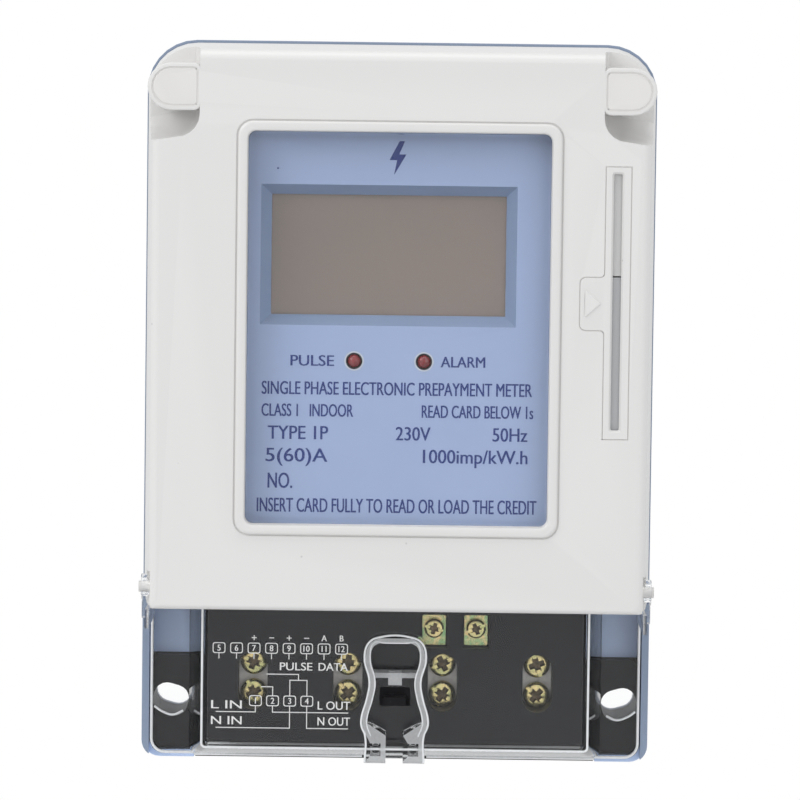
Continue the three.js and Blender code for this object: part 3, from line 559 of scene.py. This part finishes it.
def soften_cad_parts():
    soften("front_housing", 0.2 * MM, 3)
    soften("base_tub", 0.25 * MM)
    soften("slot_bezel", 0.08 * MM)
    soften("screw_cap_left", 0.15 * MM)
    soften("screw_cap_right", 0.15 * MM)
    soften("terminal_block", 0.15 * MM)
    soften("terminal_cover", 0.1 * MM)
    soften("window_lens", 0.15 * MM)
    soften("nameplate", 0.05 * MM)
    for name in ("card_reader", "relay", "film_capacitor", "lcd_frame", "lcd_glass"):
        soften(name, 0.1 * MM)
    for i in range(1, 5):
        soften(f"terminal_{i}", 0.12 * MM)
        soften(f"busbar_{i}", 0.1 * MM)
    for name in ("aux_terminal_1", "aux_terminal_2", "display_board", "main_board"):
        soften(name, 0.08 * MM)
    for name in ("current_transformer", "battery_cell", "electrolytic_capacitor"):
        soften(name, 0.3 * MM, 3, 50)
    for name in ("case_screw_left", "case_screw_right"):
        soften(name, 0.08 * MM, 2, 50)


# ---- mesh helpers ----

def piece_from(name, work, material, body):
    """Turns a bmesh into a piece that rides on a body."""
    bmesh.ops.recalc_face_normals(work, faces=work.faces)
    mesh = bpy.data.meshes.new(name)
    work.to_mesh(mesh)
    work.free()
    mesh.materials.append(material)
    piece = bpy.data.objects.new(name, mesh)
    bpy.context.scene.collection.objects.link(piece)
    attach(piece, body)
    return piece


def lathe(work, profile, steps):
    """Turns a profile of (radius, height) about the y axis; height runs towards -y."""
    rings = []
    for radius, height in profile:
        if radius == 0:
            rings.append([work.verts.new((0, -height, 0))])
            continue
        angles = [2 * math.pi * i / steps for i in range(steps)]
        rings.append([
            work.verts.new((radius * math.cos(a), -height, radius * math.sin(a))) for a in angles
        ])
    for lower, upper in zip(rings, rings[1:]):
        for i in range(steps):
            j = (i + 1) % steps
            low_pair = [lower[i % len(lower)], lower[j % len(lower)]]
            high_pair = [upper[j % len(upper)], upper[i % len(upper)]]
            work.faces.new(list(dict.fromkeys(low_pair + high_pair)))


def thicken(work, faces, thickness):
    """Raises flat faces towards the viewer by thickness, with side walls."""
    raised = bmesh.ops.extrude_face_region(work, geom=faces)["geom"]
    for vertex in (item for item in raised if isinstance(item, bmesh.types.BMVert)):
        vertex.co.y -= thickness


# ---- print ----

PRINT_THICKNESS = 0.03 * MM
BOLD = 0.06 * MM  # how far each copy of a letter is shifted to thicken it
FINE = 0.03 * MM


class Print:
    """Ink on a flat face: letters, lines and frames, joined into one thin piece.

    Places are given from the print's origin, x to the right and up.
    """

    def __init__(self, origin_x, face_y, origin_z):
        self.origin = Vector((origin_x, face_y, origin_z))
        self.work = bmesh.new()

    def vertex(self, x, up):
        return self.work.verts.new(self.origin + Vector((x, 0, up)))

    def letters(self, text, left, right, base, height, weight):
        """Text squeezed to run from left to right, with capitals of the given height."""
        self.characters(text, base, height, weight, lambda width: (left, (right - left) / width))

    def centred(self, text, x, base, height, weight):
        """Text of natural width about x."""
        scale = height / 0.75
        self.characters(text, base, height, weight, lambda width: (x - width * scale / 2, scale))

    def characters(self, text, base, height, weight, fit):
        """Letters whose start and scale come from fit; two copies, shifted by the weight, thicken them."""
        for shift in (-weight, weight):
            self.layer(text, base, height, fit, shift)

    def layer(self, text, base, height, fit, shift):
        """One copy of the letters; the one shifted right lies a trace further forward."""
        outline, capital = text_mesh(text), text_mesh("H")
        xs = [v.co.x for v in outline.vertices]
        capital_height = max(v.co.y for v in capital.vertices)
        start, across = fit(max(xs) - min(xs))
        up = height / capital_height
        start += shift
        added = [
            self.vertex(start + (v.co.x - min(xs)) * across, base + v.co.y * up) for v in outline.vertices
        ]
        for vertex in added:
            vertex.co.y -= max(shift, 0) * 0.1
        for polygon in outline.polygons:
            self.work.faces.new([added[i] for i in polygon.vertices])
        for mesh in (outline, capital):
            bpy.data.meshes.remove(mesh)

    def line(self, points, width):
        """A line of one width with mitred corners."""
        points = [Vector(p) for p in points]
        sides = []
        for i, point in enumerate(points):
            before = (point - points[i - 1]).normalized() if i else None
            after = (points[i + 1] - point).normalized() if i + 1 < len(points) else None
            before, after = before or after, after or before
            across = Vector((-(before + after).y, (before + after).x)).normalized()
            reach = width / 2 / across.dot(Vector((-before.y, before.x)))
            sides.append([self.vertex(*(point + across * reach * s)) for s in (-1, 1)])
        for first, second in zip(sides, sides[1:]):
            self.work.faces.new([first[0], second[0], second[1], first[1]])

    def polygon(self, points):
        self.work.faces.new([self.vertex(*p) for p in points])

    def ring(self, outer, inner):
        """The band between two outlines with the same number of points."""
        rings = [[self.vertex(*p) for p in outline] for outline in (outer, inner)]
        count = len(outer)
        for i in range(count):
            j = (i + 1) % count
            self.work.faces.new([rings[0][i], rings[0][j], rings[1][j], rings[1][i]])

    def box(self, x, up, width, height, line):
        """A frame with rounded corners."""
        radius = width * 0.18
        outer = rounded_box(x, up, width / 2, height / 2, radius)
        inner = rounded_box(x, up, width / 2 - line, height / 2 - line, radius - line * 0.6)
        self.ring(outer, inner)

    def piece(self, name, material, body):
        """Gives the print its thickness and makes it one piece."""
        thicken(self.work, list(self.work.faces), PRINT_THICKNESS)
        return piece_from(name, self.work, material, body)


def text_mesh(text):
    """Flat letters in the program's own plain font."""
    curve = bpy.data.curves.new("letters", "FONT")
    curve.body = text
    curve.resolution_u = 4
    letters = bpy.data.objects.new("letters", curve)
    mesh = bpy.data.meshes.new_from_object(letters)
    bpy.data.objects.remove(letters)
    bpy.data.curves.remove(curve)
    return mesh


def rounded_box(x, up, half_width, half_height, radius):
    """The outline of a box with round corners."""
    steps = 3
    points = []
    for corner, (sx, sy) in enumerate([(1, -1), (1, 1), (-1, 1), (-1, -1)]):
        for i in range(steps + 1):
            angle = (corner - 1 + i / steps) * math.pi / 2
            points.append((
                x + sx * (half_width - radius) + radius * math.cos(angle),
                up + sy * (half_height - radius) + radius * math.sin(angle),
            ))
    return points


def circle(x, up, radius, steps=24):
    angles = [2 * math.pi * i / steps for i in range(steps)]
    return [(x + radius * math.cos(a), up + radius * math.sin(a)) for a in angles]


def nameplate_print():
    """Generic wording in the places of the real print, and a plain bolt above the display."""
    low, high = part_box("nameplate")
    middle = (low + high) / 2
    plate = Print(middle.x, low.y, middle.z)
    rows = [
        (-14.6, 2.8, [("SINGLE PHASE ELECTRONIC PREPAYMENT METER", -29.5, 29.3)]),
        (-19.4, 2.7, [("CLASS 1   INDOOR", -29.5, -9.6), ("READ CARD BELOW 1s", 5.4, 29.6)]),
        (-24.4, 2.9, [("TYPE 1P", -28.1, -15), ("230V", -0.2, 7.3), ("50Hz", 20.9, 28.4)]),
        (-29.3, 2.9, [("5(60)A", -28.5, -15.1), ("1000imp/kW.h", 5.8, 28.5)]),
        (-35.1, 3.3, [("NO.", -28, -22.7)]),
        (-40.3, 3, [("INSERT CARD FULLY TO READ OR LOAD THE CREDIT", -30.3, 30.6)]),
    ]
    for base, height, texts in rows:
        for text, left, right in texts:
            plate.letters(text, left * MM, right * MM, base * MM, height * MM, BOLD)
    led_low, led_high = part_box("led_pulse")
    led_level = (led_low.z + led_high.z) / 2 - middle.z
    label_height = 2.3 * MM
    label_base = led_level - label_height / 2
    plate.letters("PULSE", -23.3 * MM, -13.9 * MM, label_base, label_height, BOLD)
    plate.letters("ALARM", 9.4 * MM, 19 * MM, label_base, label_height, BOLD)
    bolt_symbol(plate, -0.5 * MM, 37 * MM, 7.4 * MM)
    plate.polygon(circle(-26.5 * MM, 34.5 * MM, 0.22 * MM, 12))
    plate.piece("nameplate_print", ink("navy_ink", (0.008, 0.03, 0.21)), CASE)


def bolt_symbol(plate, x, up, height):
    """A plain lightning bolt, the general sign for electricity."""
    half = height / 2
    outline = [
        (0.1, 1), (-0.55, -0.12), (-0.05, -0.12), (-0.25, -1), (0.55, 0.22), (0.08, 0.22), (0.45, 1),
    ]
    plate.polygon([(x + px * half * 0.9, up + py * half) for px, py in outline])


def cover_print():
    """White wiring diagram on the cover: numbered contacts, lines and short labels."""
    sheet = Print(0, COVER_FACE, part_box("terminal_cover")[0].z)
    thin = 0.2 * MM
    box_width, box_height = 2.8 * MM, 2.4 * MM

    def numbered(number, x, up):
        sheet.box(x, up, box_width, box_height, thin)
        sheet.centred(str(number), x, up - 0.65 * MM, 1.3 * MM, FINE)

    upper_row = 27 * MM
    first, step = -38.7 * MM, 3.84 * MM
    for i, number in enumerate(range(5, 13)):
        x = first + i * step
        numbered(number, x, upper_row)
        sheet.line([(x, upper_row - box_height / 2), (x, upper_row - 2.4 * MM)], thin)
    marks = ["+", "-", "+", "-", "A", "B"]
    for i, mark in enumerate(marks):
        x = first + (i + 2) * step
        half = 0.55 * MM
        if mark in "AB":
            sheet.centred(mark, x, upper_row + 1.7 * MM, 1.3 * MM, FINE)
            continue
        level = upper_row + 2.3 * MM
        sheet.line([(x - half, level), (x + half, level)], thin)
        if mark == "+":
            for side in (-1, 1):
                sheet.line([(x, level + side * thin / 2), (x, level + side * half)], thin)
    sheet.letters("PULSE", -25.3 * MM, -18.2 * MM, 22.2 * MM, 1.7 * MM, FINE)
    sheet.letters("DATA", -16.8 * MM, -10.4 * MM, 22.2 * MM, 1.7 * MM, FINE)

    lower_row = 15.4 * MM
    places = [(-30.6 + 3.76 * i) * MM for i in range(4)]
    for i, x in enumerate(places):
        numbered(i + 1, x, lower_row)
    top = lower_row + box_height / 2
    bottom = lower_row - box_height / 2
    outer_left, outer_right = -39.3 * MM, -10.2 * MM
    line_up, line_down = 12.9 * MM, 9.4 * MM
    sheet.line([(places[0], bottom), (places[0], line_up), (outer_left, line_up)], thin)
    sheet.line([(places[1], bottom), (places[1], line_up), (outer_right, line_up)], thin)
    sheet.line([(places[2], bottom), (places[2], line_down), (outer_left, line_down)], thin)
    sheet.line([(places[3], bottom), (places[3], line_down), (outer_right, line_down)], thin)
    bridge = 20 * MM
    sheet.line([(places[2], top), (places[2], bridge), (places[3], bridge), (places[3], top)], thin)
    between = (places[2] + places[3]) / 2
    feed_line = bridge + 1.3 * MM
    sheet.line([(between, bridge + thin / 2), (between, feed_line), (-28.3 * MM, feed_line)], thin)
    sheet.line([(places[1], top), (places[1], top + 1.9 * MM), (places[0] + 1.2 * MM, top + 1.9 * MM)], thin)
    for text, left, right, base in [
        ("L IN", -40.3, -33.6, 13.6),
        ("L OUT", -16.9, -9.8, 13.6),
        ("N IN", -40.3, -33.6, 10.1),
        ("N OUT", -16.9, -9.8, 10.1),
    ]:
        sheet.letters(text, left * MM, right * MM, base * MM, 1.8 * MM, FINE)
    sheet.piece("cover_print", ink("white_ink", (0.86, 0.86, 0.85)), COVER)


# ---- painted highlights along the edges of the clear cover, and the joints round the caps and the card slot ----

def bead(name, path, radius, material, smooth=False):
    """A thin round bead along a path on the cover, which is rounded at its points if smooth."""
    curve = bpy.data.curves.new(name, "CURVE")
    curve.dimensions = "3D"
    curve.bevel_depth = radius
    curve.bevel_resolution = 2
    curve.use_fill_caps = True
    curve.resolution_u = 6
    spline = curve.splines.new("BEZIER")
    spline.bezier_points.add(len(path) - 1)
    for knot, place in zip(spline.bezier_points, path):
        knot.co = place
        knot.handle_left_type = knot.handle_right_type = "AUTO" if smooth else "VECTOR"
    guide = bpy.data.objects.new(name, curve)
    mesh = bpy.data.meshes.new_from_object(guide)
    bpy.data.objects.remove(guide)
    bpy.data.curves.remove(curve)
    work = bmesh.new()
    work.from_mesh(mesh)
    bpy.data.meshes.remove(mesh)
    piece = piece_from(name, work, material, COVER)
    for polygon in piece.data.polygons:
        polygon.use_smooth = True


def around_bottom(half, top, bottom, radius, face):
    """A path down the left side, round the bottom corners and up the right side."""
    steps = 6
    left = [(-half, face, top)]
    for i in range(steps + 1):
        angle = math.pi / 2 * i / steps
        x = -half + radius * (1 - math.cos(angle))
        left.append((x, face, bottom + radius * (1 - math.sin(angle))))
    return left + [(-x, y, z) for x, y, z in reversed(left)]


def well_path(inset, face, foot):
    """The sealing well's outline, from one foot up over the arch and down to the other."""
    side = [
        (6.6, foot), (6.6, -71.6), (7.4, -69.6), (7.45, -68),
        (6.3, -63.6), (5.75, -59.9), (6.9, -54.2), (5.9, -51.1),
    ]
    arch_x, arch_top = 3.6, -49.8
    right = [((x - inset) * MM, face, z * MM) for x, z in side]
    right.append(((arch_x - inset * 0.7) * MM, face, (arch_top - inset) * MM))
    return right + [(-x, y, z) for x, y, z in reversed(right)]


def cover_edges():
    """Painted highlights along edges of the clear cover: the raised panel, the flange and the well."""
    painted_highlight = edge_plastic()
    top = -44.3 * MM
    panel_half, panel_bottom = 42.4 * MM, -74.75 * MM
    flange_half, flange_bottom = 54.5 * MM, -79 * MM
    sunk = 0.02 * MM
    radius = 0.26 * MM
    panel_face = COVER_FACE + radius - sunk
    panel = around_bottom(panel_half, top, panel_bottom, 0.8 * MM, panel_face)
    bead("cover_panel_edge_highlight", panel, radius, painted_highlight)

    radius = 0.34 * MM
    flange = around_bottom(flange_half, top, flange_bottom, 3 * MM, FLANGE_FACE - 0.1 * MM)
    bead("cover_flange_edge_highlight", flange, radius, painted_highlight)
    foot_face = FLANGE_FACE - 1.1 * MM
    foot_ends = (7.2 * MM, 44.8 * MM)
    slot_arc = [(53.9, -68.7), (52.1, -69.9), (49.7, -70.6), (47.4, -69.7)]
    for side, name in ((-1, "left"), (1, "right")):
        foot = [(side * x, foot_face, flange_bottom - 0.2 * MM) for x in foot_ends]
        bead("cover_foot_edge_highlight_" + name, foot, radius, painted_highlight)
        rim = [(side * x * MM, FLANGE_FACE - 0.05 * MM, z * MM) for x, z in slot_arc]
        bead("slot_rim_" + name, rim, 0.28 * MM, painted_highlight, smooth=True)

    well_face = COVER_FACE - 0.45 * MM
    bead("well_outer_edge_highlight", well_path(0.15, well_face, -77.6), 0.24 * MM, painted_highlight, smooth=True)
    bead("well_inner_edge_highlight", well_path(1.35, well_face, -71.8), 0.18 * MM, painted_highlight, smooth=True)


def cap_outline(side):
    """The D shape of a screw cap, with the half-round end on the outside."""
    low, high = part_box("screw_cap_right" if side > 0 else "screw_cap_left")
    radius = (high.z - low.z) / 2
    level = (low.z + high.z) / 2
    inner, outer = (low.x, high.x) if side > 0 else (high.x, low.x)
    centre = outer - side * radius
    steps = 16
    points = [(inner, low.z)]
    for i in range(steps + 1):
        angle = math.pi * (i / steps - 0.5)
        points.append((centre + side * radius * math.cos(angle), level + radius * math.sin(angle)))
    points.append((inner, high.z))
    return points


def bezel_outline():
    """The card slot's bezel: an upright strip with a tab on its left side."""
    low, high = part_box("slot_bezel")
    tab_width = 5.3 * MM
    tab_bottom, tab_top = 18.4 * MM, 30 * MM
    corner = 0.5 * MM
    left = low.x + tab_width
    tab = [
        (left, tab_top), (low.x + corner, tab_top), (low.x, tab_top - corner),
        (low.x, tab_bottom + corner), (low.x + corner, tab_bottom), (left, tab_bottom),
    ]
    return [(left, low.z), (high.x, low.z), (high.x, high.z), (left, high.z), *tab]


def seams():
    """The floor of the narrow joints round the caps and the slot's bezel."""
    depth = 0.3 * MM
    width = 0.5 * MM
    floor = Print(0, FRONT_FACE + depth, 0)
    for outline in (cap_outline(-1), cap_outline(1), bezel_outline()):
        floor.line(outline + outline[:1], width)
    floor.piece("seam_floor", bpy.data.materials["cap_plastic"], CASE)


# ---- screws ----

def screw_body(radius, height, shank, length):
    """Pan head with a rounded rim on a plain shank; the head stands on y = 0."""
    rim = height * 0.42
    crown = 0.14 * MM
    profile = [
        (0, -length), (shank * 0.7, -length), (shank, -length + shank * 0.4), (shank, 0), (radius, 0),
    ]
    steps = 6
    for i in range(steps + 1):
        angle = i / steps * math.pi / 2
        profile.append((radius - rim * (1 - math.cos(angle)), height - rim + rim * math.sin(angle)))
    profile.append((radius * 0.3, height + crown * 0.86))
    profile.append((0, height + crown))
    work = bmesh.new()
    lathe(work, profile, 40)
    return work


def recess_cutter(radius, height):
    """Cross recess with tapered arms, and a shallower straight slot right across the head."""
    work = bmesh.new()
    top = height + 0.5 * MM
    arm, thin = radius * 0.62, radius * 0.24
    taper = 0.55
    cross_floor, slot_floor = height * 0.3, height * 0.62
    for half_x, half_z, floor, shrink in [
        (arm, thin, cross_floor, taper),
        (thin, arm, cross_floor, taper),
        (radius * 1.2, thin * 0.62, slot_floor, 1),
    ]:
        corners = []
        for y, scale in ((-floor, shrink), (-top, 1)):
            corners += [
                work.verts.new((sx * half_x * scale, y, sz * half_z * (0.7 + 0.3 * scale)))
                for sx, sz in ((-1, -1), (1, -1), (1, 1), (-1, 1))
            ]
        for face in ((0, 1, 2, 3), (7, 6, 5, 4), (0, 4, 5, 1), (1, 5, 6, 2), (2, 6, 7, 3), (3, 7, 4, 0)):
            work.faces.new([corners[i] for i in face])
    bmesh.ops.recalc_face_normals(work, faces=work.faces)
    return work


def hidden_object(name, work):
    """A helper for a modifier, which is removed again after use."""
    mesh = bpy.data.meshes.new(name)
    bmesh.ops.recalc_face_normals(work, faces=work.faces)
    work.to_mesh(mesh)
    work.free()
    helper = bpy.data.objects.new(name, mesh)
    bpy.context.scene.collection.objects.link(helper)
    return helper


def recessed_screw_mesh(name, radius, height, shank, length, finish, recess):
    """One screw's mesh with its recess cut, shared by all the screws of its size."""
    body = hidden_object(name + "_body", screw_body(radius, height, shank, length))
    cutter = hidden_object(name + "_cutter", recess_cutter(radius, height))
    cut = body.modifiers.new("recess", "BOOLEAN")
    cut.object = cutter
    cut.operation = "DIFFERENCE"
    cut.solver = "EXACT"
    cut.use_self = True
    edge = body.modifiers.new("edges", "BEVEL")
    edge.width = 0.05 * MM
    edge.segments = 2
    edge.angle_limit = math.radians(40)
    view = bpy.context.evaluated_depsgraph_get()
    mesh = bpy.data.meshes.new_from_object(body.evaluated_get(view))
    mesh.name = name
    mesh.materials.clear()
    mesh.materials.append(finish)
    mesh.materials.append(recess)
    # the faces inside the recess take the second material, a painted shade
    recess_reach = radius * 0.75
    recess_top = height - 0.1 * MM
    for polygon in mesh.polygons:
        polygon.use_smooth = True
        middle = polygon.center
        inside = math.hypot(middle.x, middle.z) < recess_reach and 0 < -middle.y < recess_top
        polygon.material_index = 1 if inside else 0
    mesh.set_sharp_from_angle(angle=math.radians(35))
    for helper in (body, cutter):
        bpy.data.objects.remove(helper)
    return mesh


def place_screw(node, mesh, turn, head):
    """A detailed screw in the place of a CAD screw, turned by an angle of its own."""
    low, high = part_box(node)
    middle = (low + high) / 2
    copy = mesh.copy()
    place = Matrix.Translation((middle.x, low.y + head, middle.z))
    copy.transform(place @ Matrix.Rotation(math.radians(turn), 4, "Y"))
    piece = bpy.data.objects.new(node + "_detail", copy)
    bpy.context.scene.collection.objects.link(piece)
    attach(piece, node)
    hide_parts(node)


def screws():
    """Eight terminal screws and two smaller ones, each stopped at an angle of its own."""
    finish, recess = brass(), recess_brown()
    clearance = 0.05 * MM
    radius, head, shank, length = 2.95 * MM, 2.15 * MM, 1.5 * MM, 9.4 * MM
    large = recessed_screw_mesh("terminal_screw", radius, head, shank, length, finish, recess)
    turns = {
        (1, "upper"): 20, (1, "lower"): 62, (2, "upper"): 8, (2, "lower"): 50,
        (3, "upper"): -28, (3, "lower"): 35, (4, "upper"): 72, (4, "lower"): 41,
    }
    for (number, place), turn in turns.items():
        place_screw(f"terminal_screw_{number}_{place}", large, turn, head + clearance)
    radius, head, shank, length = 2.15 * MM, 1.65 * MM, 1.1 * MM, 6.4 * MM
    small = recessed_screw_mesh("aux_screw", radius, head, shank, length, finish, recess)
    for number, turn in ((1, 15), (2, -22)):
        place_screw(f"aux_screw_{number}", small, turn, head + clearance)


# ---- lamps ----

def led_lamp(node, resin, collar_painted_shade, rim_painted_highlight):
    """A round lamp of dark red resin; a dark collar in its hole is painted shade, and a thin pale rim round
    the hole is a painted highlight.
    """
    low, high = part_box(node)
    middle = (low + high) / 2
    plate_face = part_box("nameplate")[0].y
    radius = 1.5 * MM
    base_radius, base_height = 1.8 * MM, 1 * MM
    foot = high.y
    work = bmesh.new()
    profile = [(0, 0), (base_radius, 0), (base_radius, base_height), (radius, base_height)]
    steps = 8
    dome = 1.3 * MM
    straight = foot - low.y - dome
    for i in range(steps):
        angle = i / steps * math.pi / 2
        profile.append((radius * math.cos(angle), straight + dome * math.sin(angle)))
    profile.append((0, straight + dome))
    lathe(work, profile, 36)
    bmesh.ops.translate(work, verts=work.verts, vec=(middle.x, foot, middle.z))
    lamp = piece_from(node + "_lamp", work, resin, CASE)
    for polygon in lamp.data.polygons:
        polygon.use_smooth = True
    lamp.data.set_sharp_from_angle(angle=math.radians(40))
    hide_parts(node)

    # the pale ring round the hole is a painted highlight, laid as a flat print
    rim = Print(middle.x, plate_face, middle.z)
    rim.ring(circle(0, 0, 2.12 * MM, 36), circle(0, 0, 1.84 * MM, 36))
    rim.piece(node + "_rim", rim_painted_highlight, CASE)

    # a dark collar fills the gap round the lamp: painted shade
    inner, outer, back = 1.56, 1.77, -0.6
    section = [
        (inner, back), (outer, back), (outer, 0.02), (1.7, 0.06), (1.62, 0.02), (inner, -0.1), (inner, back),
    ]
    shade_collar = bmesh.new()
    lathe(shade_collar, [(x * MM, height * MM) for x, height in section], 36)
    bmesh.ops.remove_doubles(shade_collar, verts=shade_collar.verts, dist=0.001 * MM)
    bmesh.ops.translate(shade_collar, verts=shade_collar.verts, vec=(middle.x, plate_face, middle.z))
    piece_from(node + "_collar", shade_collar, collar_painted_shade, CASE)


def led_lamps():
    resin = led_resin()
    rim_painted_highlight = ink("pale_rim", (0.62, 0.66, 0.72))
    collar_painted_shade = ink("dark_collar", (0.03, 0.012, 0.014))
    for node in ("led_pulse", "led_alarm"):
        led_lamp(node, resin, collar_painted_shade, rim_painted_highlight)


# ---- build ----

camera()
surroundings()
studio_floor()
soft_light("key", (-1.0, -0.75, 0.75), 0.7, 5)
soft_light("fill", (0.95, -1.05, 0.15), 0.9, 1.5)
soft_light("top", (0.05, -0.25, 1.1), 0.6, 3)

dress_cad_parts()
soften_cad_parts()

led_lamps()
nameplate_print()
cover_print()
cover_edges()
seams()
screws()
